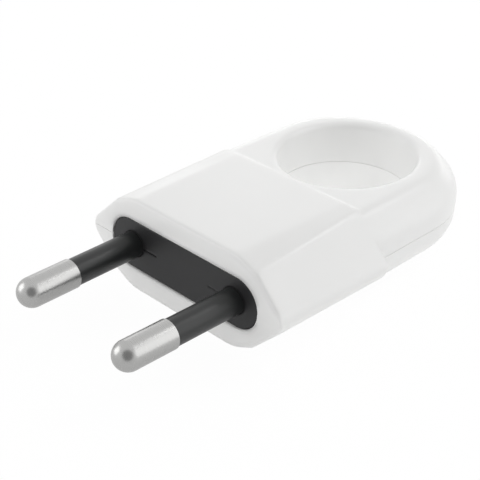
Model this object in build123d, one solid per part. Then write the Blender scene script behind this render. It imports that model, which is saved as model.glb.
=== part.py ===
from build123d import *
import math
import os

# Flat two-pin mains plug with a finger ring, wired by hand, in millimetres.
# The origin is the middle of the engagement face, on the mid-plane of the pins.
# The pins point along -Y, the ring lies at +Y, and the plug lies flat with +Z up.

# Contact pins and their insulating sleeves
PIN_LENGTH = 19.0
PIN_RADIUS = 2.0
PIN_NECK_RADIUS = 1.4
PIN_SPACING_AT_FACE = 18.5
PIN_SPACING_AT_TIP = 17.9
SLEEVE_LENGTH = 10.7
SLEEVE_RADIUS = 1.84
SLEEVE_SEAT_DEPTH = 2.0

# Terminal block at the inner end of each pin
TERMINAL_RADIUS = 2.9
TERMINAL_START = 5.4
TERMINAL_END = 11.6
TERMINAL_SCREW_Y = 8.2
WIRE_HOLE_RADIUS = 1.4
WIRE_HOLE_DEPTH = 5.0

# Outside of the casing: a six-sided body that grows a little towards the back
BODY_LENGTH = 21.05
HALF_THICKNESS = 6.7
LOWER_HALF_THICKNESS = 7.0
FLAT_HALF_WIDTH = 9.6
FRONT_SHOULDER_X = 12.7
REAR_SHOULDER_X = 12.1
FRONT_REACH = 18.2
REAR_REACH = 18.65
SHOULDER_ROUND = 0.7
SIDE_ROUND = 2.0
FRONT_SOFT_ROUND = 6.0
REAR_SOFT_ROUND = 12.0
FACE_SKIM = 0.01
FRONT_EDGE_ROUND = 0.45
REAR_EDGE_ROUND = 1.0
EDGE_STEPS = 3
LEAST_ROUND = 0.05

# Finger ring, whose flanks run on from the body's, and its oval hole, which opens towards both faces
RING_CENTRE_Y = 34.0
RING_RADIUS = 15.65
RING_HALF_THICKNESS = 6.1
RING_REACH = 18.55
RING_TOP_ROUND = 2.6
RING_WALL_ROUND = 4.5
RING_START_Y = 19.0
HOLE_CENTRE_Y = 33.0
HOLE_HALF_WIDTH = 9.45
HOLE_HALF_LENGTH = 10.1
HOLE_LEAN_ACROSS = 0.1
HOLE_LEAN_ALONG = 0.9
HOLE_RIM_ROUND = 0.7
HOLE_RIM_STEPS = 4
RING_WALL = 1.8
RING_CHANNEL_RADIUS = 11.9

# Inside of the casing
WALL = 1.8
FRONT_WALL = 2.0
CAVITY_END_Y = 20.2
CAVITY_CORNER_X = 13.0
CAVITY_CORNER_Y = 18.6
REBATE_DEPTH = 0.1
REBATE_HEIGHT = 0.08

# Pin carrier
NOSE_HALF_WIDTH = 13.45
NOSE_HALF_HEIGHT = 3.68
NOSE_CLEARANCE = 0.04
NOSE_RECESS = 0.1
NOSE_EDGE = 0.15
FLANGE_END_Y = 4.0
FLANGE_CLEARANCE = 0.1
PIN_BOSS_RADIUS = 3.6
WELD_LINE_LENGTH = 2.6
WELD_LINE_WIDTH = 0.22
WELD_LINE_DEPTH = 0.12
RETAINER_HALF_WIDTH = 5.5
RETAINER_INNER_Z = 2.5
RETAINER_THICKNESS = 1.0
RETAINER_GAP = 0.05

# Cord inlet on the left side, and the clamp behind it
INLET_Y = 14.4
INLET_RADIUS = 3.3
INLET_BLOCK_INNER_X = -12.6
INLET_FLARE_RADIUS = 4.6
INLET_FLARE_START_X = -15.9
INLET_FLARE_END_X = -18.2
INLET_BLOCK_HALF_LENGTH = 4.5
CLAMP_X = -4.6
CLAMP_SCREW_OFFSET = 4.2
CLAMP_WIDTH = 3.0
CLAMP_LENGTH = 11.4
CLAMP_LOW_Z = 1.2
CLAMP_HIGH_Z = 3.2
CLAMP_TOOTH_RADIUS = 0.5
CLAMP_TOOTH_LENGTH = 5.0
CLAMP_POST_RADIUS = 1.45
CLAMP_SCREW_TIP_Z = -3.0
SADDLE_HALF_WIDTH = 1.0
SADDLE_TOP_Z = -2.7

# Screws: shank radius, head radius and head height
TERMINAL_SCREW = (1.5, 2.3, 1.3)
CLAMP_SCREW = (0.9, 1.5, 1.1)
CASING_SCREW = (1.2, 2.1, 1.5)
SCREW_SLOT_WIDTH = 0.7
SCREW_SLOT_DEPTH = 0.6
SCREW_TIP_ROOM = 0.3
CASING_SCREW_PLACES = [(0.0, 8.6), (-10.0, 23.5), (10.0, 23.5)]
CASING_SCREW_SEAT_Z = -3.4
CASING_SCREW_TIP_Z = 3.8
COUNTERBORE_RADIUS = 2.3
CLEARANCE_HOLE_RADIUS = 1.35
LOWER_BOSS_RADIUS = 3.2
UPPER_BOSS_RADIUS = 2.2
CRADLE_HALF_WIDTH = 2.6
CRADLE_Y = (9.4, 10.6)
CRADLE_TOP_Z = -1.6
CRADLE_CLEARANCE = 0.1

OVERSIZE = 60.0


def station(y):
    """Plane across the plug at distance y behind the engagement face, seen from the front."""
    return Plane.XZ.offset(-y)


def upright(x, y, z=0.0):
    """Place for something whose own axis stands along +Z."""
    return Location((x, y, z))


def quarter_corners(half_thickness, shoulder_x, reach, depth):
    """Corners of the upper right quarter of a six-sided section, with every side moved inwards by the depth.

    The flank slopes at 45 degrees from the shoulder to the reach, and a facet joins the shoulder to the flat.
    """
    facet = math.atan2(half_thickness - reach + shoulder_x, shoulder_x - FLAT_HALF_WIDTH)
    slope = math.pi / 4
    shoulder_inset = depth * (math.sin(facet) + math.sin(slope)) / (1 + math.cos(slope - facet))
    side_x = reach - depth / math.sin(slope)
    corner_x = shoulder_x - shoulder_inset
    return [
        (FLAT_HALF_WIDTH - depth * math.tan(facet / 2), half_thickness - depth),
        (corner_x, side_x - corner_x),
        (side_x, 0),
    ]


def six_sided(y, shoulder_x, reach, rounds, depth):
    """Face of the body's section, a hair too thick, with every side moved inwards by the depth."""
    upper = quarter_corners(HALF_THICKNESS + FACE_SKIM, shoulder_x, reach, depth)
    lower = quarter_corners(LOWER_HALF_THICKNESS + FACE_SKIM, shoulder_x, reach, depth)
    right = upper + [(x, -z) for x, z in reversed(lower[:-1])]
    left = [(-x, z) for x, z in reversed(right)]
    soft, shoulder, side = [max(radius - depth, LEAST_ROUND) for radius in rounds]
    corner_rounds = [soft, shoulder, side, shoulder, soft] * 2
    outline = FilletPolyline(*right, *left, radius=corner_rounds, close=True)
    return station(y) * make_face(outline)


def rounded_end(end_y, inward, shoulder_x, reach, rounds, edge_round):
    """Sections of a rounded end, from its end face to the full section, where inward is 1 or -1 along Y."""
    faces = []
    for step in range(EDGE_STEPS + 1):
        turn = math.pi / 2 * step / EDGE_STEPS
        depth = edge_round * (1 - math.sin(turn))
        y = end_y + inward * edge_round * (1 - math.cos(turn))
        faces.append(six_sided(y, shoulder_x, reach, rounds, depth))
    return faces


def body_outside():
    """Body lofted between its rounded front and rear edges, with its two large faces skimmed flat."""
    front_rounds = (FRONT_SOFT_ROUND, SHOULDER_ROUND, SIDE_ROUND)
    rear_rounds = (REAR_SOFT_ROUND, SHOULDER_ROUND, SIDE_ROUND)
    front = rounded_end(0, 1, FRONT_SHOULDER_X, FRONT_REACH, front_rounds, FRONT_EDGE_ROUND)
    rear = rounded_end(BODY_LENGTH, -1, REAR_SHOULDER_X, REAR_REACH, rear_rounds, REAR_EDGE_ROUND)
    everywhere = (-OVERSIZE, OVERSIZE)
    slab = block(everywhere, everywhere, (-LOWER_HALF_THICKNESS, HALF_THICKNESS))
    return loft(front + rear[::-1], ruled=True) & slab


def ring_half_section():
    """Half of the ring's cross-section without the hole, with its 45 degree outer flanks."""
    edge_x = RING_REACH - RING_HALF_THICKNESS
    wall_z = RING_REACH - RING_RADIUS
    points = [
        (0, RING_HALF_THICKNESS),
        (edge_x, RING_HALF_THICKNESS),
        (RING_RADIUS, wall_z),
        (RING_RADIUS, -wall_z),
        (edge_x, -RING_HALF_THICKNESS),
        (0, -RING_HALF_THICKNESS),
    ]
    rounds = [0, RING_TOP_ROUND, RING_WALL_ROUND, RING_WALL_ROUND, RING_TOP_ROUND, 0]
    return make_face(FilletPolyline(*points, radius=rounds, close=True))


def ring_outside():
    """Straight flanks that leave the body, closed by a half turn about the hole's axis."""
    half = ring_half_section()
    straight = extrude(station(RING_CENTRE_Y) * half, amount=RING_CENTRE_Y - RING_START_Y)
    straight += mirror(straight, about=Plane.YZ)
    axis = Axis((0, RING_CENTRE_Y, 0), (0, 0, 1))
    return straight + revolve(station(RING_CENTRE_Y) * half, axis=axis, revolution_arc=180)


def hole_section(z, widening):
    """Oval section of the finger hole at a height, widened on all sides by the rounding of its rim."""
    lean = z / RING_HALF_THICKNESS
    half_width = HOLE_HALF_WIDTH + HOLE_LEAN_ACROSS * lean + widening
    half_length = HOLE_HALF_LENGTH + HOLE_LEAN_ALONG * lean + widening
    return upright(0, HOLE_CENTRE_Y, z) * Ellipse(half_width, half_length)


def finger_hole():
    """Oval hole that is narrowest on the mid-plane and opens to a rounded rim on each face."""
    wall_top = RING_HALF_THICKNESS - HOLE_RIM_ROUND
    sections = [hole_section(0, 0)]
    for step in range(HOLE_RIM_STEPS + 1):
        turn = math.pi / 2 * step / HOLE_RIM_STEPS
        z = wall_top + HOLE_RIM_ROUND * math.sin(turn)
        sections.append(hole_section(z, HOLE_RIM_ROUND * (1 - math.cos(turn))))
    mouth = extrude(sections[-1], amount=HALF_THICKNESS)
    upper = loft(sections, ruled=True) + mouth
    return upper + mirror(upper, about=Plane.XY)


def stadium(half_width, half_height, y_start, y_end):
    """Bar of stadium section between two stations."""
    face = station(y_end) * SlotOverall(2 * half_width, 2 * half_height)
    return extrude(face, amount=y_end - y_start)


def cylinder_up(x, y, z_low, z_high, radius):
    """Upright cylinder between two heights."""
    height = z_high - z_low
    return upright(x, y, z_low) * Cylinder(radius, height, align=(Align.CENTER, Align.CENTER, Align.MIN))


def block(x_range, y_range, z_range):
    """Box between pairs of limits."""
    size = [high - low for low, high in (x_range, y_range, z_range)]
    place = Location((x_range[0], y_range[0], z_range[0]))
    return place * Box(*size, align=(Align.MIN, Align.MIN, Align.MIN))


def inner_prism(inset, y_start, y_end):
    """Six-sided prism inset from the front section by the given thickness."""
    half_thickness = HALF_THICKNESS - inset
    reach = FRONT_REACH - inset * math.sqrt(2)
    shoulder_x = reach - half_thickness
    points = [(shoulder_x, half_thickness), (reach, 0), (shoulder_x, -half_thickness)]
    outline = Polyline(*points, *[(-x, z) for x, z in reversed(points)], close=True)
    return extrude(station(y_end) * make_face(outline), amount=y_end - y_start)


def ring_channel():
    """Hollow inside the ring, so that its moulded walls stay even, short of the screw bosses."""
    outer = RING_RADIUS - RING_WALL
    half_height = RING_HALF_THICKNESS - 2 * RING_WALL
    middle = (RING_CHANNEL_RADIUS + outer) / 2
    profile = Pos(middle, 0) * Rectangle(outer - RING_CHANNEL_RADIUS, 2 * half_height)
    axis = Axis((0, RING_CENTRE_Y, 0), (0, 0, 1))
    return revolve(station(RING_CENTRE_Y) * profile, axis=axis, revolution_arc=180)


def casing_hollow():
    """Wiring space, left solid round the cord inlet and in the rear corners, and the ring's channel."""
    space = inner_prism(WALL, FRONT_WALL, CAVITY_END_Y)
    for side in (-1, 1):
        corner = sorted((side * CAVITY_CORNER_X, side * OVERSIZE))
        space -= block(corner, (CAVITY_CORNER_Y, OVERSIZE), (-HALF_THICKNESS, HALF_THICKNESS))
    inlet_block = block(
        (-FRONT_REACH, INLET_BLOCK_INNER_X),
        (INLET_Y - INLET_BLOCK_HALF_LENGTH, INLET_Y + INLET_BLOCK_HALF_LENGTH),
        (-HALF_THICKNESS, HALF_THICKNESS),
    )
    return space - inlet_block + ring_channel()


def cord_inlet():
    """Round hole through the left flank, flared at its mouth."""
    along_x = Plane((0, INLET_Y, 0), x_dir=(0, 1, 0), z_dir=(1, 0, 0))
    reach = FRONT_REACH + INLET_BLOCK_INNER_X
    hole = along_x.offset(-FRONT_REACH) * Cylinder(
        INLET_RADIUS, reach, align=(Align.CENTER, Align.CENTER, Align.MIN)
    )
    flare_length = INLET_FLARE_START_X - INLET_FLARE_END_X
    flare = along_x.offset(INLET_FLARE_END_X) * Cone(
        INLET_FLARE_RADIUS, INLET_RADIUS, flare_length, align=(Align.CENTER, Align.CENTER, Align.MIN)
    )
    return hole + flare


def rebate():
    """Fine rebate round the rim of the lower shell, which shows as the line between the shells."""
    rounding = SIDE_ROUND * (math.sqrt(2) - 1) + REBATE_DEPTH
    front_x = FRONT_REACH - rounding
    rear_x = REAR_REACH - rounding
    rear_y = BODY_LENGTH - REBATE_DEPTH
    corners = [(-front_x, REBATE_DEPTH), (front_x, REBATE_DEPTH), (rear_x, rear_y), (-rear_x, rear_y)]
    rounds = [FRONT_EDGE_ROUND, FRONT_EDGE_ROUND, REAR_EDGE_ROUND, REAR_EDGE_ROUND]
    inside = make_face(FilletPolyline(*corners, radius=rounds, close=True))
    ring_x = RING_RADIUS - REBATE_DEPTH
    straight_length = RING_CENTRE_Y - RING_START_Y
    inside += Pos(0, RING_CENTRE_Y - straight_length / 2) * Rectangle(2 * ring_x, straight_length)
    inside += Pos(0, RING_CENTRE_Y) * Circle(ring_x)
    hole = Ellipse(HOLE_HALF_WIDTH + REBATE_DEPTH, HOLE_HALF_LENGTH + REBATE_DEPTH)
    inside -= Pos(0, HOLE_CENTRE_Y) * hole
    around = Rectangle(2 * OVERSIZE, 2 * OVERSIZE) - inside
    return extrude(around, amount=-REBATE_HEIGHT)


def retainer(sign):
    """Rib that keeps the carrier's flange against the front wall, in the upper or lower shell."""
    heights = sorted((sign * RETAINER_INNER_Z, sign * (HALF_THICKNESS - WALL / 2)))
    start = FLANGE_END_Y + RETAINER_GAP
    return block((-RETAINER_HALF_WIDTH, RETAINER_HALF_WIDTH), (start, start + RETAINER_THICKNESS), heights)


def cradles():
    """Ribs in the lower shell that carry the terminal blocks."""
    ribs = Part()
    for side in (-1, 1):
        x = side * (PIN_SPACING_AT_FACE / 2 + CRADLE_Y[0] * math.tan(pin_angle()))
        rib = block(
            (x - CRADLE_HALF_WIDTH, x + CRADLE_HALF_WIDTH),
            CRADLE_Y,
            (-HALF_THICKNESS + WALL / 2, CRADLE_TOP_Z),
        )
        ribs += rib - along_pin(side, TERMINAL_RADIUS + CRADLE_CLEARANCE, TERMINAL_START, TERMINAL_END)
    return ribs


def upper_shell(whole):
    """Upper half of the casing, with blind screw bosses."""
    shell = whole & block((-OVERSIZE, OVERSIZE), (-OVERSIZE, OVERSIZE), (0, OVERSIZE))
    ceiling = HALF_THICKNESS - WALL / 2
    shell += cylinder_up(*CASING_SCREW_PLACES[0], 0, ceiling, UPPER_BOSS_RADIUS)
    shell += retainer(1)
    for x, y in CASING_SCREW_PLACES:
        shell -= cylinder_up(x, y, 0, CASING_SCREW_TIP_Z + SCREW_TIP_ROOM, CASING_SCREW[0])
    return shell


def lower_shell(whole):
    """Lower half of the casing, with screw seats, terminal cradles, cord saddle and clamp posts."""
    shell = whole & block((-OVERSIZE, OVERSIZE), (-OVERSIZE, OVERSIZE), (-OVERSIZE, 0))
    shell -= rebate()
    floor = -HALF_THICKNESS + WALL / 2
    shell += cylinder_up(*CASING_SCREW_PLACES[0], floor, 0, LOWER_BOSS_RADIUS)
    shell += retainer(-1)
    shell += cradles()
    saddle_x = (CLAMP_X - SADDLE_HALF_WIDTH, CLAMP_X + SADDLE_HALF_WIDTH)
    shell += block(saddle_x, clamp_screw_rows(), (floor, SADDLE_TOP_Z))
    for y in clamp_screw_rows():
        shell += cylinder_up(CLAMP_X, y, floor, CLAMP_LOW_Z, CLAMP_POST_RADIUS)
        shell -= cylinder_up(CLAMP_X, y, CLAMP_SCREW_TIP_Z - SCREW_TIP_ROOM, CLAMP_LOW_Z, CLAMP_SCREW[0])
    for x, y in CASING_SCREW_PLACES:
        shell -= cylinder_up(x, y, -LOWER_HALF_THICKNESS, 0, CLEARANCE_HOLE_RADIUS)
        shell -= cylinder_up(x, y, -LOWER_HALF_THICKNESS, CASING_SCREW_SEAT_Z, COUNTERBORE_RADIUS)
    return shell


def pin_angle():
    """Angle by which each pin leans towards the other, in radians."""
    return math.atan((PIN_SPACING_AT_FACE - PIN_SPACING_AT_TIP) / 2 / PIN_LENGTH)


def pin_place(side):
    """Frame at the root of a pin, with its own +Y running back along the pin's axis."""
    lean = -side * math.degrees(pin_angle())
    return Location((side * PIN_SPACING_AT_FACE / 2, 0, 0), (0, 0, lean))


def along_pin(side, radius, y_start, y_end):
    """Cylinder on a pin's axis between two stations."""
    face = station(y_end) * Circle(radius)
    return pin_place(side) * extrude(face, amount=y_end - y_start)


def contact_pin(side):
    """Turned pin: round tip, bare contact, neck under the sleeve, and a drilled terminal block."""
    bare_end = -SLEEVE_LENGTH
    round_start = -(PIN_LENGTH - PIN_RADIUS)
    tip = pin_place(side) * Location((0, round_start, 0)) * Sphere(PIN_RADIUS)
    pin = tip + along_pin(side, PIN_RADIUS, round_start, bare_end)
    pin += along_pin(side, PIN_NECK_RADIUS, bare_end, TERMINAL_START)
    pin += along_pin(side, TERMINAL_RADIUS, TERMINAL_START, TERMINAL_END)
    pin -= along_pin(side, WIRE_HOLE_RADIUS, TERMINAL_END - WIRE_HOLE_DEPTH, TERMINAL_END)
    thread = cylinder_up(0, TERMINAL_SCREW_Y, 0, OVERSIZE, TERMINAL_SCREW[0])
    return pin - pin_place(side) * thread


def pin_sleeve(side):
    """Insulating sleeve from inside the carrier to the bare contact."""
    outside = along_pin(side, SLEEVE_RADIUS, -SLEEVE_LENGTH, SLEEVE_SEAT_DEPTH)
    return outside - along_pin(side, PIN_NECK_RADIUS, -SLEEVE_LENGTH, SLEEVE_SEAT_DEPTH)


def pin_carrier():
    """Insert with a nose that fills the front opening, a flange behind the wall and a boss at each pin."""
    nose = stadium(NOSE_HALF_WIDTH, NOSE_HALF_HEIGHT, NOSE_RECESS, FRONT_WALL)
    nose = chamfer(nose.edges().group_by(Axis.Y)[0], NOSE_EDGE)
    carrier = nose + inner_prism(WALL + FLANGE_CLEARANCE, FRONT_WALL, FLANGE_END_Y)
    for side in (-1, 1):
        carrier += along_pin(side, PIN_BOSS_RADIUS, FRONT_WALL, TERMINAL_START)
    for side in (-1, 1):
        carrier -= along_pin(side, PIN_NECK_RADIUS, 0, TERMINAL_START)
        carrier -= along_pin(side, SLEEVE_RADIUS, 0, SLEEVE_SEAT_DEPTH)
        inner_x = PIN_SPACING_AT_FACE / 2 - SLEEVE_RADIUS
        ends = sorted((side * inner_x, side * (inner_x - WELD_LINE_LENGTH)))
        depth = (0, NOSE_RECESS + WELD_LINE_DEPTH)
        carrier -= block(ends, depth, (-WELD_LINE_WIDTH / 2, WELD_LINE_WIDTH / 2))
    return carrier


def slotted_screw(sizes, shank_length):
    """Slotted screw that stands head up, with its seat at z = 0."""
    shank_radius, head_radius, head_height = sizes
    head = cylinder_up(0, 0, 0, head_height, head_radius)
    head = chamfer(head.edges().group_by(Axis.Z)[-1], head_height / 3)
    slot = Location((0, 0, head_height)) * Box(OVERSIZE, SCREW_SLOT_WIDTH, 2 * SCREW_SLOT_DEPTH)
    return head - slot + cylinder_up(0, 0, -shank_length, 0, shank_radius)


def terminal_screw(side):
    """Screw above a terminal block, with its tip just inside the wire hole."""
    seat = TERMINAL_RADIUS
    screw = slotted_screw(TERMINAL_SCREW, seat - WIRE_HOLE_RADIUS / 2)
    return pin_place(side) * upright(0, TERMINAL_SCREW_Y, seat) * screw


def clamp_screw_rows():
    """Stations of the two clamp screws."""
    return (INLET_Y - CLAMP_SCREW_OFFSET, INLET_Y + CLAMP_SCREW_OFFSET)


def cord_clamp():
    """Bar with rounded ends and two rows of teeth that bite on the cord."""
    face = upright(CLAMP_X, INLET_Y, CLAMP_LOW_Z) * SlotOverall(CLAMP_LENGTH, CLAMP_WIDTH, rotation=90)
    bar = extrude(face, amount=CLAMP_HIGH_Z - CLAMP_LOW_Z)
    for offset_x in (-CLAMP_WIDTH / 4, CLAMP_WIDTH / 4):
        tooth = Location((CLAMP_X + offset_x, INLET_Y, CLAMP_LOW_Z), (90, 0, 0))
        bar += tooth * Cylinder(CLAMP_TOOTH_RADIUS, CLAMP_TOOTH_LENGTH)
    for y in clamp_screw_rows():
        bar -= cylinder_up(CLAMP_X, y, CLAMP_LOW_Z, CLAMP_HIGH_Z, CLAMP_SCREW[0])
    return bar


def clamp_screws():
    """The two screws that hold the clamp bar on its posts."""
    screw = slotted_screw(CLAMP_SCREW, CLAMP_HIGH_Z - CLAMP_SCREW_TIP_Z)
    return Compound([upright(CLAMP_X, y, CLAMP_HIGH_Z) * screw for y in clamp_screw_rows()])


def casing_screws():
    """The three screws that enter from the underside and hold the shells together."""
    screw = slotted_screw(CASING_SCREW, CASING_SCREW_TIP_Z - CASING_SCREW_SEAT_Z)
    return Compound([
        Location((x, y, CASING_SCREW_SEAT_Z), (180, 0, 0)) * screw for x, y in CASING_SCREW_PLACES
    ])


def casing():
    """Whole casing before it is parted: body and ring, hollowed, with its front opening and cord inlet."""
    outside = body_outside() + ring_outside() - finger_hole()
    opening = stadium(
        NOSE_HALF_WIDTH + NOSE_CLEARANCE, NOSE_HALF_HEIGHT + NOSE_CLEARANCE, -OVERSIZE, FLANGE_END_Y
    )
    return outside - casing_hollow() - opening - cord_inlet()


def build_parts():
    """All nodes by name."""
    whole = casing()
    return {
        "upper_shell": upper_shell(whole),
        "lower_shell": lower_shell(whole),
        "pin_carrier": pin_carrier(),
        "contact_pin_left": contact_pin(-1),
        "contact_pin_right": contact_pin(1),
        "pin_sleeve_left": pin_sleeve(-1),
        "pin_sleeve_right": pin_sleeve(1),
        "terminal_screw_left": terminal_screw(-1),
        "terminal_screw_right": terminal_screw(1),
        "cord_clamp": cord_clamp(),
        "clamp_screws": clamp_screws(),
        "casing_screws": casing_screws(),
    }


def main():
    os.makedirs("parts", exist_ok=True)
    for name, shape in build_parts().items():
        export_step(shape, os.path.join("parts", name + ".step"))


main()
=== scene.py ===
import math

import bmesh
import bpy
from bpy.props import FloatProperty, FloatVectorProperty, PointerProperty
from mathutils import Matrix, Vector


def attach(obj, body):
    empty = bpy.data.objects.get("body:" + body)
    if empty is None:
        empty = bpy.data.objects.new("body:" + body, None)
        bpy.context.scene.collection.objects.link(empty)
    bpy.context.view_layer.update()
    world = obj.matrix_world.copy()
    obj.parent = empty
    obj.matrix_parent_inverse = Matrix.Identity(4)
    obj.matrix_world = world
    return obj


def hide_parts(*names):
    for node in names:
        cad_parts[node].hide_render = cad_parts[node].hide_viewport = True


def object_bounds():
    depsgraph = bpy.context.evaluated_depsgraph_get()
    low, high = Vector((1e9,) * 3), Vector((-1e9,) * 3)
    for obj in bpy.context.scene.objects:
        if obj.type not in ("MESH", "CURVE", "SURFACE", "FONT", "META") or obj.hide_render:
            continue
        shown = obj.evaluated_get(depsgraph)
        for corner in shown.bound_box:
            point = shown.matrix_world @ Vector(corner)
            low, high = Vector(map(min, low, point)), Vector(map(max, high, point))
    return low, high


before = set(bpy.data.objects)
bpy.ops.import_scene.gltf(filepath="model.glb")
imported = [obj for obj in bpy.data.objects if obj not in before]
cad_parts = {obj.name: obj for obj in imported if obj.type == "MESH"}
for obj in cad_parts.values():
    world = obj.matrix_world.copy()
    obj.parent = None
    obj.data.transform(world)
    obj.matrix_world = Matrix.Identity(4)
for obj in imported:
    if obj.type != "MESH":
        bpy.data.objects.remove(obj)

bl_info = {
    "name": "Flat two-pin plug",
    "version": (1, 0, 0),
    "blender": (4, 5, 0),
    "location": "View3D > Sidebar > Plug",
    "description": "Finishes the casing, carrier, pins, sleeves and screws of a plug, and sets its stage",
    "category": "Object",
}

MM = 0.001
CAD_LOW, CAD_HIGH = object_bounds()
MIDDLE = (CAD_LOW + CAD_HIGH) / 2
BODY = "root"

# Points of a node's loose triangles that are closer than this are one point
MERGE_DISTANCE = 0.002 * MM
# Edges that turn by more than this stay sharp
SHARP_TURN = math.radians(28)

# Small step of the lower shell below the joint, and how far back the body goes
STEP_HEIGHT = 0.08 * MM
STEP_DEPTH = 0.1 * MM
BODY_END = 21.0 * MM
# A wall of the step has a normal that rises less than this
UPRIGHT_RISE = 0.1
# A wall whose normal goes less than this to the side belongs to the front face
FRONT_SIDE = 0.5

WHITE = (1, 1, 1, 1)
BLACK = (0, 0, 0, 1)
# Noise of the broad clouds, and of the fine grain and turning marks
SOFT_NOISE = {"Detail": 2.0, "Roughness": 0.5}
FINE_NOISE = {"Detail": 3.0, "Roughness": 0.6}
NOISE_MEAN = 0.5

# Width of one cloud in the colour of a moulded piece
CLOUD_SIZE = 9 * MM
# Strength of the clouds, and width and height of one grain, where no setting gives them
CASING_CLOUDING = 0.03
CARRIER_TEXTURE = {"grain_size": 0.2 * MM, "grain_depth": 0.006 * MM, "clouding": 0.1}
SLEEVE_TEXTURE = {"grain_size": 0.25 * MM, "grain_depth": 0.004 * MM, "clouding": 0.1}
CLAMP_TEXTURE = {"grain_size": 0.2 * MM, "grain_depth": 0.005 * MM, "clouding": 0.08}
CARRIER_EDGE_SOFTNESS = 0.5 * MM
CLAMP_ROUGHNESS = 0.5

# Softened edges: rays for each point, and where the softening starts and is full above a joint, in radii
EDGE_SAMPLES = 8
JOINT_START = 0.5
JOINT_FULL = 1.2
# Places of the vector sockets among all sockets of a Mix node
MIX_VECTOR_A = 4
MIX_VECTOR_B = 5
MIX_VECTOR_RESULT = 1

# Turning marks: how far they are drawn out round the metal, what they do to its dullness, and their relief
MARK_SQUEEZE = 0.04
MARK_DULLNESS = 0.25
MARK_STRENGTH = 0.1
MARK_DEPTH = 0.002 * MM

# Floor, in metres, and camera
FLOOR_HALF_WIDTH = 1.5
FLOOR_ROUGHNESS = 0.8
SENSOR_WIDTH = 36.0
CLIP_START = 10 * MM
CLIP_END = 10.0

# Lights: place, then width and height, in millimetres
FRONT_LIGHT = ((-214, -160, 96), (180, 190))
SHEEN_LIGHT = ((-140, 208, 134), (100, 100))
RIM_LIGHT = ((-162, 239, 26), (140, 50))
EDGE_LIGHT = ((78, 191, 194), (60, 60))
STRIP_LIGHT = ((122, 211, 75), (55, 150))
TABLE_LIGHT = ((0, 33, -6.9), (15, 16))
# Point inside the finger ring that the table light is aimed at, in millimetres
RING_MIDDLE = (0, 33, 0)

# Screens: place, then half the width and half the height, in millimetres
DARK_SCREEN_HALVES = (105, 105)
BRIGHT_SCREEN = ((184, 152, 88), (105, 126))
FAR_SCREEN = ((-201, 166, 62), (60, 46))
BACK_SCREEN = ((-45, 290, 25), (75, 40))
SCREEN_SEGMENTS = 48


class PlugCasingSettings(bpy.types.PropertyGroup):
    """White moulded shells."""

    colour: FloatVectorProperty(
        name="Casing colour", description="Colour of the moulded shells",
        subtype="COLOR", size=3, min=0, max=1, default=(0.9, 0.9, 0.892),
    )
    roughness: FloatProperty(
        name="Casing roughness", description="Dullness of the moulded shells",
        subtype="FACTOR", min=0, max=1, default=0.3,
    )
    grain_size: FloatProperty(
        name="Grain size", description="Width of one grain of the mould's fine texture",
        unit="LENGTH", min=0, default=0.16 * MM,
    )
    grain_depth: FloatProperty(
        name="Grain depth", description="Height of the mould's fine texture",
        unit="LENGTH", min=0, default=0.004 * MM,
    )
    edge_softness: FloatProperty(
        name="Edge softness", description="Radius to which the shading of the shells' edges is softened",
        unit="LENGTH", min=0, default=1.4 * MM,
    )


class PlugDarkSettings(bpy.types.PropertyGroup):
    """Dark moulded pieces at the front, and the grey clamp."""

    carrier_colour: FloatVectorProperty(
        name="Carrier colour", description="Colour of the insert that holds the pins",
        subtype="COLOR", size=3, min=0, max=1, default=(0.011, 0.011, 0.012),
    )
    carrier_roughness: FloatProperty(
        name="Carrier roughness", description="Dullness of the insert",
        subtype="FACTOR", min=0, max=1, default=0.5,
    )
    sleeve_colour: FloatVectorProperty(
        name="Sleeve colour", description="Colour of the insulating sleeves on the pins",
        subtype="COLOR", size=3, min=0, max=1, default=(0.014, 0.015, 0.015),
    )
    sleeve_roughness: FloatProperty(
        name="Sleeve roughness", description="Dullness of the sleeves",
        subtype="FACTOR", min=0, max=1, default=0.36,
    )
    clamp_colour: FloatVectorProperty(
        name="Clamp colour", description="Colour of the bar that holds the cord",
        subtype="COLOR", size=3, min=0, max=1, default=(0.32, 0.32, 0.31),
    )


class PlugMetalSettings(bpy.types.PropertyGroup):
    """Plated pins and steel screws."""

    nickel_colour: FloatVectorProperty(
        name="Nickel colour", description="Colour of the plated pins",
        subtype="COLOR", size=3, min=0, max=1, default=(0.44, 0.439, 0.433),
    )
    nickel_roughness: FloatProperty(
        name="Nickel roughness", description="Dullness of the plated pins",
        subtype="FACTOR", min=0, max=1, default=0.29,
    )
    turning_pitch: FloatProperty(
        name="Turning pitch", description="Distance between the turning marks round a pin",
        unit="LENGTH", min=0, default=0.1 * MM,
    )
    steel_colour: FloatVectorProperty(
        name="Steel colour", description="Colour of the screws",
        subtype="COLOR", size=3, min=0, max=1, default=(0.58, 0.58, 0.57),
    )
    steel_roughness: FloatProperty(
        name="Steel roughness", description="Dullness of the screws",
        subtype="FACTOR", min=0, max=1, default=0.32,
    )


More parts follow.
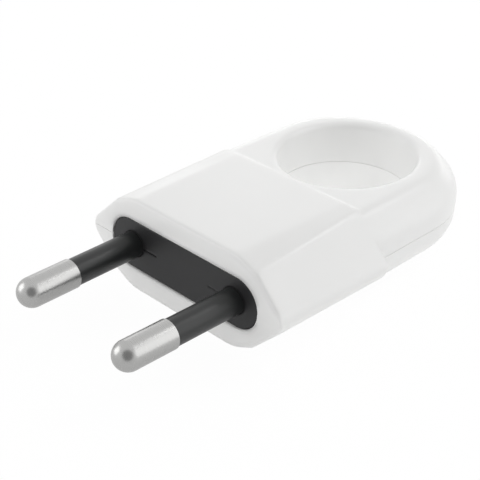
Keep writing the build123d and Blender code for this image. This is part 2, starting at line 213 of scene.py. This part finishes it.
class PlugStageSettings(bpy.types.PropertyGroup):
    """Camera, floor, lights and the screens that only reflections show."""

    azimuth: FloatProperty(
        name="Azimuth", description="Where the camera stands round the plug, from the pins' side towards +X",
        subtype="ANGLE", default=math.radians(42.47),
    )
    elevation: FloatProperty(
        name="Elevation", description="How far the camera looks down",
        subtype="ANGLE", default=math.radians(30.59),
    )
    roll: FloatProperty(
        name="Roll", description="How far the camera is turned about its own axis",
        subtype="ANGLE", default=math.radians(2.87),
    )
    distance: FloatProperty(
        name="Distance", description="From the camera to the point that it looks at",
        unit="LENGTH", default=159.24 * MM,
    )
    target: FloatVectorProperty(
        name="Target", description="Point that the camera looks at",
        subtype="TRANSLATION", size=3, default=(-0.47 * MM, 11.44 * MM, 0.0),
    )
    lens: FloatProperty(
        name="Lens", description="Focal length on a sensor 36 mm wide",
        unit="CAMERA", default=88.23,
    )
    floor_colour: FloatVectorProperty(
        name="Floor colour", description="Colour of the floor",
        subtype="COLOR", size=3, min=0, max=1, default=(0.9, 0.9, 0.9),
    )
    floor_whiteness: FloatProperty(
        name="Floor whiteness", description="Share of plain white in the floor as the camera sees it",
        subtype="FACTOR", min=0, max=1, default=0.95,
    )
    mirrored_whiteness: FloatProperty(
        name="Mirrored whiteness", description="Share of plain white in the floor as the pins mirror it",
        subtype="FACTOR", min=0, max=1, default=0.3,
    )
    mirrored_brightness: FloatProperty(
        name="Mirrored brightness", description="Brightness of that plain white as the pins mirror it",
        min=0, default=0.75,
    )
    table_glow: FloatProperty(
        name="Table glow",
        description="Strength of the soft light that the floor gives off, like a light table",
        min=0, default=0.22,
    )
    horizon: FloatProperty(
        name="Horizon", description="Strength of the even light from all round, at the level of the floor",
        min=0, default=0.4,
    )
    zenith: FloatProperty(
        name="Zenith", description="Strength of the even light from straight above",
        min=0, default=0.84,
    )
    front_power: FloatProperty(
        name="Front power", description="Power of the broad light in front on the left",
        unit="POWER", min=0, default=0.16,
    )
    sheen_power: FloatProperty(
        name="Sheen power",
        description="Power of the soft light behind on the left, whose sheen lies on the top",
        unit="POWER", min=0, default=0.0125,
    )
    table_power: FloatProperty(
        name="Table power", description="Power of the small light on the table, inside the finger ring",
        unit="POWER", min=0, default=0.00026,
    )
    rim_power: FloatProperty(
        name="Rim power", description="Power of the low light behind on the left, which draws the far edges",
        unit="POWER", min=0, default=0.032,
    )
    edge_power: FloatProperty(
        name="Edge power", description="Power of the small light behind, which draws the shoulders' edges",
        unit="POWER", min=0, default=0.072,
    )
    strip_power: FloatProperty(
        name="Strip power",
        description="Power of the tall light behind on the right, for the flank and the ring",
        unit="POWER", min=0, default=0.034,
    )
    band_brightness: FloatProperty(
        name="Band brightness",
        description="Brightness of the screen on the right, which the pins mirror as a band",
        min=0, default=1.8,
    )
    far_brightness: FloatProperty(
        name="Far brightness",
        description="Brightness of the screen behind on the left, which the pins' upper edges mirror",
        min=0, default=1.8,
    )
    back_brightness: FloatProperty(
        name="Back brightness",
        description="Brightness of the low screen behind, which the ring's flank mirrors",
        min=0, default=1.9,
    )
    screen_brightness: FloatProperty(
        name="Screen brightness",
        description="Brightness of the screen at the camera, which the pins' tips mirror",
        min=0, default=0.3,
    )


# Meshes

def close_joint(shape):
    """Fill the lower shell's step along the body, where the shells meet too closely for a line to show.

    It stays open in the front face on the left, where a gap shows.
    """
    wall = {}
    for face in shape.faces:
        heights = [vert.co.z for vert in face.verts]
        upright = abs(face.normal.z) < UPRIGHT_RISE
        in_step = max(heights) < MERGE_DISTANCE and min(heights) > -STEP_HEIGHT - MERGE_DISTANCE
        middle = face.calc_center_median()
        gap_shows = middle.x < 0 and abs(face.normal.x) < FRONT_SIDE
        if upright and in_step and middle.y < BODY_END and not gap_shows:
            for vert in face.verts:
                wall[vert] = wall.get(vert, Vector()) + face.normal * face.calc_area()
    for vert, outward in wall.items():
        vert.co += outward.normalized() * STEP_DEPTH


def finished_copy(node, piece_name, material, reshape=None):
    """Copy of a CAD node, standing for it, with its points merged and its curved faces shaded smooth."""
    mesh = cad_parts[node].data.copy()
    mesh.name = piece_name
    if "custom_normal" in mesh.attributes:
        mesh.attributes.remove(mesh.attributes["custom_normal"])
    shape = bmesh.new()
    shape.from_mesh(mesh)
    bmesh.ops.remove_doubles(shape, verts=shape.verts, dist=MERGE_DISTANCE)
    if reshape:
        reshape(shape)
    shape.to_mesh(mesh)
    shape.free()
    mesh.shade_smooth()
    mesh.set_sharp_from_angle(angle=SHARP_TURN)
    mesh.materials.clear()
    mesh.materials.append(material)
    piece = bpy.data.objects.new(piece_name, mesh)
    bpy.context.scene.collection.objects.link(piece)
    even = piece.modifiers.new("Even shading", "WEIGHTED_NORMAL")
    even.mode = "FACE_AREA"
    even.keep_sharp = True
    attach(piece, BODY)
    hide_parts(node)


# Materials

def add_node(tree, kind, **values):
    """New node, with its properties set by name and its inputs by socket name."""
    node = tree.nodes.new(kind)
    for name, value in values.items():
        if name in node.inputs:
            node.inputs[name].default_value = value
        else:
            setattr(node, name, value)
    return node


def mould_texture_group():
    """Node group for moulded plastic: soft clouding of the colour and shine, and fine grain."""
    group = bpy.data.node_groups.get("mould texture")
    if group:
        return group
    group = bpy.data.node_groups.new("mould texture", "ShaderNodeTree")
    sockets = group.interface
    sockets.new_socket("Place", in_out="INPUT", socket_type="NodeSocketVector")
    sockets.new_socket("Colour", in_out="INPUT", socket_type="NodeSocketColor")
    sockets.new_socket("Roughness", in_out="INPUT", socket_type="NodeSocketFloat")
    sockets.new_socket("Clouds per metre", in_out="INPUT", socket_type="NodeSocketFloat")
    sockets.new_socket("Grains per metre", in_out="INPUT", socket_type="NodeSocketFloat")
    sockets.new_socket("Clouding", in_out="INPUT", socket_type="NodeSocketFloat")
    sockets.new_socket("Colour", in_out="OUTPUT", socket_type="NodeSocketColor")
    sockets.new_socket("Roughness", in_out="OUTPUT", socket_type="NodeSocketFloat")
    sockets.new_socket("Grain", in_out="OUTPUT", socket_type="NodeSocketFloat")
    given = group.nodes.new("NodeGroupInput")
    made = group.nodes.new("NodeGroupOutput")
    clouds = add_node(group, "ShaderNodeTexNoise", **SOFT_NOISE)
    grain = add_node(group, "ShaderNodeTexNoise", **FINE_NOISE)
    swing = add_node(group, "ShaderNodeMath", operation="SUBTRACT")
    swing.inputs[1].default_value = NOISE_MEAN
    amount = add_node(group, "ShaderNodeMath", operation="MULTIPLY")
    shade = add_node(group, "ShaderNodeMath", operation="ADD")
    shade.inputs[1].default_value = 1.0
    tint = add_node(group, "ShaderNodeVectorMath", operation="SCALE")
    dullness = add_node(group, "ShaderNodeMath", operation="ADD", use_clamp=True)
    join = group.links.new
    join(given.outputs["Place"], clouds.inputs["Vector"])
    join(given.outputs["Clouds per metre"], clouds.inputs["Scale"])
    join(given.outputs["Place"], grain.inputs["Vector"])
    join(given.outputs["Grains per metre"], grain.inputs["Scale"])
    join(clouds.outputs["Fac"], swing.inputs[0])
    join(swing.outputs[0], amount.inputs[0])
    join(given.outputs["Clouding"], amount.inputs[1])
    join(amount.outputs[0], shade.inputs[0])
    join(given.outputs["Colour"], tint.inputs["Vector"])
    join(shade.outputs[0], tint.inputs["Scale"])
    join(given.outputs["Roughness"], dullness.inputs[0])
    join(amount.outputs[0], dullness.inputs[1])
    join(tint.outputs["Vector"], made.inputs["Colour"])
    join(dullness.outputs[0], made.inputs["Roughness"])
    join(grain.outputs["Fac"], made.inputs["Grain"])
    return group


def softened_edges(tree, place, radius, joint):
    """Normal that is rounded over a piece's edges, but not near the mid-plane where a joint lies there."""
    edges = add_node(tree, "ShaderNodeBevel", samples=EDGE_SAMPLES, Radius=radius)
    if not joint:
        return edges.outputs["Normal"]
    surface = add_node(tree, "ShaderNodeNewGeometry")
    parts = add_node(tree, "ShaderNodeSeparateXYZ")
    height = add_node(tree, "ShaderNodeMath", operation="ABSOLUTE")
    away = add_node(tree, "ShaderNodeMapRange")
    away.inputs["From Min"].default_value = JOINT_START * radius
    away.inputs["From Max"].default_value = JOINT_FULL * radius
    normal = add_node(tree, "ShaderNodeMix", data_type="VECTOR")
    tree.links.new(place.outputs["Object"], parts.inputs["Vector"])
    tree.links.new(parts.outputs["Z"], height.inputs[0])
    tree.links.new(height.outputs[0], away.inputs["Value"])
    tree.links.new(away.outputs["Result"], normal.inputs["Factor"])
    tree.links.new(surface.outputs["Normal"], normal.inputs[MIX_VECTOR_A])
    tree.links.new(edges.outputs["Normal"], normal.inputs[MIX_VECTOR_B])
    return normal.outputs[MIX_VECTOR_RESULT]


def moulded_plastic(
    name, colour, roughness, grain_size, grain_depth, clouding, edge_softness=0.0, joint=False
):
    """Moulded plastic whose colour and shine drift a little, under a fine grain."""
    material = bpy.data.materials.new(name)
    material.use_nodes = True
    tree = material.node_tree
    surface = tree.nodes["Principled BSDF"]
    place = add_node(tree, "ShaderNodeTexCoord")
    texture = tree.nodes.new("ShaderNodeGroup")
    texture.node_tree = mould_texture_group()
    texture.inputs["Colour"].default_value = (*colour, 1.0)
    texture.inputs["Roughness"].default_value = roughness
    texture.inputs["Clouds per metre"].default_value = 1 / CLOUD_SIZE
    texture.inputs["Grains per metre"].default_value = 1 / grain_size
    texture.inputs["Clouding"].default_value = clouding
    bump = add_node(tree, "ShaderNodeBump", Strength=1.0, Distance=grain_depth)
    tree.links.new(place.outputs["Object"], texture.inputs["Place"])
    tree.links.new(texture.outputs["Colour"], surface.inputs["Base Color"])
    tree.links.new(texture.outputs["Roughness"], surface.inputs["Roughness"])
    tree.links.new(texture.outputs["Grain"], bump.inputs["Height"])
    tree.links.new(bump.outputs["Normal"], surface.inputs["Normal"])
    if edge_softness:
        tree.links.new(softened_edges(tree, place, edge_softness, joint), bump.inputs["Normal"])
    return material


def turned_metal(name, colour, roughness, mark_pitch, mark_axis):
    """Bright metal with fine turning marks across the given axis."""
    material = bpy.data.materials.new(name)
    material.use_nodes = True
    tree = material.node_tree
    surface = tree.nodes["Principled BSDF"]
    surface.inputs["Metallic"].default_value = 1.0
    surface.inputs["Base Color"].default_value = (*colour, 1.0)
    place = add_node(tree, "ShaderNodeTexCoord")
    squeeze = add_node(tree, "ShaderNodeMapping")
    squeeze.inputs["Scale"].default_value = [1.0 if axis == mark_axis else MARK_SQUEEZE for axis in "XYZ"]
    marks = add_node(tree, "ShaderNodeTexNoise", Scale=1 / mark_pitch, **FINE_NOISE)
    dullness = add_node(tree, "ShaderNodeMapRange")
    dullness.inputs["To Min"].default_value = roughness * (1 - MARK_DULLNESS)
    dullness.inputs["To Max"].default_value = roughness * (1 + MARK_DULLNESS)
    bump = add_node(tree, "ShaderNodeBump", Strength=MARK_STRENGTH, Distance=MARK_DEPTH)
    tree.links.new(place.outputs["Object"], squeeze.inputs["Vector"])
    tree.links.new(squeeze.outputs["Vector"], marks.inputs["Vector"])
    tree.links.new(marks.outputs["Fac"], dullness.inputs["Value"])
    tree.links.new(dullness.outputs["Result"], surface.inputs["Roughness"])
    tree.links.new(marks.outputs["Fac"], bump.inputs["Height"])
    tree.links.new(bump.outputs["Normal"], surface.inputs["Normal"])
    return material


# Stage

def seen_directly(tree, by_camera, by_mirror):
    """Socket with one value where the camera meets the surface, and another where a mirror shows it."""
    path = add_node(tree, "ShaderNodeLightPath")
    camera = add_node(tree, "ShaderNodeMath", operation="MULTIPLY")
    camera.inputs[1].default_value = by_camera
    either = add_node(tree, "ShaderNodeMath", operation="MAXIMUM")
    mirror = add_node(tree, "ShaderNodeMath", operation="MULTIPLY")
    mirror.inputs[1].default_value = by_mirror
    share = add_node(tree, "ShaderNodeMath", operation="MAXIMUM")
    tree.links.new(path.outputs["Is Camera Ray"], camera.inputs[0])
    tree.links.new(path.outputs["Is Glossy Ray"], either.inputs[0])
    tree.links.new(path.outputs["Is Transmission Ray"], either.inputs[1])
    tree.links.new(either.outputs[0], mirror.inputs[0])
    tree.links.new(camera.outputs[0], share.inputs[0])
    tree.links.new(mirror.outputs[0], share.inputs[1])
    return share.outputs[0]


def white_surroundings(horizon, zenith):
    """World that lights the plug softly, most from above, and that is plain white where it is seen."""
    world = bpy.data.worlds.new("white surroundings")
    world.use_nodes = True
    bpy.context.scene.world = world
    tree = world.node_tree
    light = tree.nodes["Background"]
    light.inputs["Color"].default_value = WHITE
    direction = add_node(tree, "ShaderNodeTexCoord")
    parts = add_node(tree, "ShaderNodeSeparateXYZ")
    rise = add_node(tree, "ShaderNodeMapRange")
    rise.inputs["To Min"].default_value = horizon
    rise.inputs["To Max"].default_value = zenith
    white = add_node(tree, "ShaderNodeBackground", Color=WHITE, Strength=1.0)
    mix = add_node(tree, "ShaderNodeMixShader")
    tree.links.new(direction.outputs["Generated"], parts.inputs["Vector"])
    tree.links.new(parts.outputs["Z"], rise.inputs["Value"])
    tree.links.new(rise.outputs["Result"], light.inputs["Strength"])
    tree.links.new(seen_directly(tree, 1.0, 1.0), mix.inputs["Fac"])
    tree.links.new(light.outputs["Background"], mix.inputs[1])
    tree.links.new(white.outputs["Background"], mix.inputs[2])
    tree.links.new(mix.outputs["Shader"], tree.nodes["World Output"].inputs["Surface"])


def floor_material(stage):
    """Pale glowing table that is nearly plain white where it is seen, and keeps a faint shadow."""
    material = bpy.data.materials.new("pale floor")
    material.use_nodes = True
    tree = material.node_tree
    paint = tree.nodes["Principled BSDF"]
    paint.inputs["Base Color"].default_value = (*stage.floor_colour, 1.0)
    paint.inputs["Roughness"].default_value = FLOOR_ROUGHNESS
    paint.inputs["Emission Color"].default_value = WHITE
    paint.inputs["Emission Strength"].default_value = stage.table_glow
    white = add_node(tree, "ShaderNodeEmission", Color=WHITE)
    mix = add_node(tree, "ShaderNodeMixShader")
    brightness = seen_directly(tree, 1.0, stage.mirrored_brightness)
    share = seen_directly(tree, stage.floor_whiteness, stage.mirrored_whiteness)
    tree.links.new(brightness, white.inputs["Strength"])
    tree.links.new(share, mix.inputs["Fac"])
    tree.links.new(paint.outputs["BSDF"], mix.inputs[1])
    tree.links.new(white.outputs["Emission"], mix.inputs[2])
    tree.links.new(mix.outputs["Shader"], tree.nodes["Material Output"].inputs["Surface"])
    return material


def pale_floor(stage):
    """Wide floor at the underside of the plug."""
    shape = bmesh.new()
    bmesh.ops.create_grid(shape, x_segments=1, y_segments=1, size=FLOOR_HALF_WIDTH)
    bmesh.ops.translate(shape, verts=shape.verts, vec=(0, 0, CAD_LOW.z))
    mesh = bpy.data.meshes.new("floor")
    shape.to_mesh(mesh)
    shape.free()
    mesh.materials.append(floor_material(stage))
    floor = bpy.data.objects.new("floor", mesh)
    bpy.context.scene.collection.objects.link(floor)


def soft_light(name, place, size, power, aimed_at=None, mirrored=True):
    """Area light of a width and height at a place, in millimetres, aimed at a point or at the plug's middle.

    Reflections don't show it where mirrored is false.
    """
    lamp = bpy.data.lights.new(name, "AREA")
    lamp.shape = "RECTANGLE"
    lamp.size, lamp.size_y = [side * MM for side in size]
    lamp.energy = power
    stand = bpy.data.objects.new(name, lamp)
    stand.location = Vector(place) * MM
    aim = (Vector(aimed_at) * MM if aimed_at else MIDDLE) - stand.location
    stand.rotation_euler = aim.to_track_quat("-Z", "Y").to_euler()
    stand.visible_camera = False
    stand.visible_glossy = mirrored
    bpy.context.scene.collection.objects.link(stand)


def mirrored_screen(name, place, halves, brightness):
    """Oval screen at a place in millimetres, facing the plug's middle, which shows only in reflections."""
    material = bpy.data.materials.new(name)
    material.use_nodes = True
    surface = material.node_tree.nodes["Principled BSDF"]
    surface.inputs["Base Color"].default_value = BLACK
    surface.inputs["Emission Color"].default_value = WHITE
    surface.inputs["Emission Strength"].default_value = brightness
    centre = Vector(place) * MM
    turn = (centre - MIDDLE).to_track_quat("Z", "Y").to_matrix().to_4x4()
    shape = bmesh.new()
    bmesh.ops.create_circle(shape, cap_ends=True, segments=SCREEN_SEGMENTS, radius=MM)
    bmesh.ops.scale(shape, verts=shape.verts, vec=(*halves, 1))
    bmesh.ops.transform(shape, verts=shape.verts, matrix=Matrix.Translation(centre) @ turn)
    mesh = bpy.data.meshes.new(name)
    shape.to_mesh(mesh)
    shape.free()
    mesh.materials.append(material)
    screen = bpy.data.objects.new(name, mesh)
    bpy.context.scene.collection.objects.link(screen)
    screen.visible_camera = False
    screen.visible_diffuse = False
    screen.visible_shadow = False


def photo_camera(stage):
    """Camera at the photograph's place."""
    back = Vector((
        math.sin(stage.azimuth) * math.cos(stage.elevation),
        -math.cos(stage.azimuth) * math.cos(stage.elevation),
        math.sin(stage.elevation),
    ))
    level = Vector((math.cos(stage.azimuth), math.sin(stage.azimuth), 0.0))
    turn = Matrix.Rotation(stage.roll, 3, back)
    right = turn @ level
    up = back.cross(right)
    lens = bpy.data.cameras.new("photo camera")
    lens.sensor_width = SENSOR_WIDTH
    lens.sensor_fit = "HORIZONTAL"
    lens.lens = stage.lens
    lens.clip_start = CLIP_START
    lens.clip_end = CLIP_END
    camera = bpy.data.objects.new("photo camera", lens)
    axes = Matrix((right, up, back)).transposed().to_4x4()
    camera.matrix_world = Matrix.Translation(Vector(stage.target) + back * stage.distance) @ axes
    bpy.context.scene.collection.objects.link(camera)
    bpy.context.scene.camera = camera
    return camera


# Operators

class PLUG_OT_casing(bpy.types.Operator):
    """Finish the two moulded shells"""

    bl_idname = "plug.casing"
    bl_label = "Casing"

    def execute(self, context):
        made = context.scene.plug_casing
        white = moulded_plastic(
            "white moulded plastic", made.colour, made.roughness, made.grain_size, made.grain_depth,
            CASING_CLOUDING, made.edge_softness, joint=True,
        )
        finished_copy("upper_shell", "casing_upper", white)
        finished_copy("lower_shell", "casing_lower", white, close_joint)
        return {"FINISHED"}


class PLUG_OT_carrier(bpy.types.Operator):
    """Finish the dark insert that holds the pins"""

    bl_idname = "plug.carrier"
    bl_label = "Pin carrier"

    def execute(self, context):
        dark = context.scene.plug_dark
        dull = moulded_plastic(
            "dull dark plastic", dark.carrier_colour, dark.carrier_roughness, **CARRIER_TEXTURE,
            edge_softness=CARRIER_EDGE_SOFTNESS,
        )
        finished_copy("pin_carrier", "carrier", dull)
        return {"FINISHED"}


class PLUG_OT_pins(bpy.types.Operator):
    """Finish the plated pins and their sleeves"""

    bl_idname = "plug.pins"
    bl_label = "Pins and sleeves"

    def execute(self, context):
        metal = context.scene.plug_metal
        dark = context.scene.plug_dark
        nickel = turned_metal(
            "nickel plating", metal.nickel_colour, metal.nickel_roughness, metal.turning_pitch, "Y"
        )
        shiny = moulded_plastic(
            "shiny dark plastic", dark.sleeve_colour, dark.sleeve_roughness, **SLEEVE_TEXTURE
        )
        for side in ("left", "right"):
            finished_copy("contact_pin_" + side, "pin_" + side, nickel)
            finished_copy("pin_sleeve_" + side, "sleeve_" + side, shiny)
        return {"FINISHED"}


class PLUG_OT_fittings(bpy.types.Operator):
    """Finish the screws and the cord clamp"""

    bl_idname = "plug.fittings"
    bl_label = "Screws and clamp"

    def execute(self, context):
        metal = context.scene.plug_metal
        dark = context.scene.plug_dark
        steel = turned_metal(
            "zinc-plated steel", metal.steel_colour, metal.steel_roughness, metal.turning_pitch, "Z"
        )
        grey = moulded_plastic("grey moulded plastic", dark.clamp_colour, CLAMP_ROUGHNESS, **CLAMP_TEXTURE)
        for node in ("terminal_screw_left", "terminal_screw_right", "clamp_screws", "casing_screws"):
            finished_copy(node, "finished_" + node, steel)
        finished_copy("cord_clamp", "clamp_bar", grey)
        return {"FINISHED"}


class PLUG_OT_stage(bpy.types.Operator):
    """Set the floor, the lights, the camera and the mirrored screens"""

    bl_idname = "plug.stage"
    bl_label = "Stage"

    def execute(self, context):
        stage = context.scene.plug_stage
        context.scene.view_settings.view_transform = "Standard"
        white_surroundings(stage.horizon, stage.zenith)
        pale_floor(stage)
        soft_light("front light", *FRONT_LIGHT, stage.front_power)
        soft_light("sheen light", *SHEEN_LIGHT, stage.sheen_power)
        soft_light("rim light", *RIM_LIGHT, stage.rim_power)
        soft_light("edge light", *EDGE_LIGHT, stage.edge_power)
        soft_light("strip light", *STRIP_LIGHT, stage.strip_power, mirrored=False)
        soft_light("table light", *TABLE_LIGHT, stage.table_power, aimed_at=RING_MIDDLE)
        camera_place = photo_camera(stage).matrix_world.translation / MM
        mirrored_screen("dark_screen", camera_place, DARK_SCREEN_HALVES, stage.screen_brightness)
        mirrored_screen("bright_screen", *BRIGHT_SCREEN, stage.band_brightness)
        mirrored_screen("far_screen", *FAR_SCREEN, stage.far_brightness)
        mirrored_screen("back_screen", *BACK_SCREEN, stage.back_brightness)
        return {"FINISHED"}


class PLUG_PT_panel(bpy.types.Panel):
    """Lists the pieces of the plug"""

    bl_idname = "PLUG_PT_panel"
    bl_label = "Flat plug"
    bl_space_type = "VIEW_3D"
    bl_region_type = "UI"
    bl_category = "Plug"

    def draw(self, context):
        for operator in OPERATORS:
            self.layout.operator(operator.bl_idname)


SETTINGS = {
    "plug_casing": PlugCasingSettings,
    "plug_dark": PlugDarkSettings,
    "plug_metal": PlugMetalSettings,
    "plug_stage": PlugStageSettings,
}
OPERATORS = (PLUG_OT_casing, PLUG_OT_carrier, PLUG_OT_pins, PLUG_OT_fittings, PLUG_OT_stage)


def register():
    for name, settings in SETTINGS.items():
        bpy.utils.register_class(settings)
        setattr(bpy.types.Scene, name, PointerProperty(type=settings))
    for operator in OPERATORS:
        bpy.utils.register_class(operator)
    bpy.utils.register_class(PLUG_PT_panel)


def unregister():
    bpy.utils.unregister_class(PLUG_PT_panel)
    for operator in reversed(OPERATORS):
        bpy.utils.unregister_class(operator)
    for name, settings in reversed(SETTINGS.items()):
        delattr(bpy.types.Scene, name)
        bpy.utils.unregister_class(settings)


def main():
    register()
    bpy.ops.plug.casing()
    bpy.ops.plug.carrier()
    bpy.ops.plug.pins()
    bpy.ops.plug.fittings()
    bpy.ops.plug.stage()


if __name__ == "__main__":
    main()
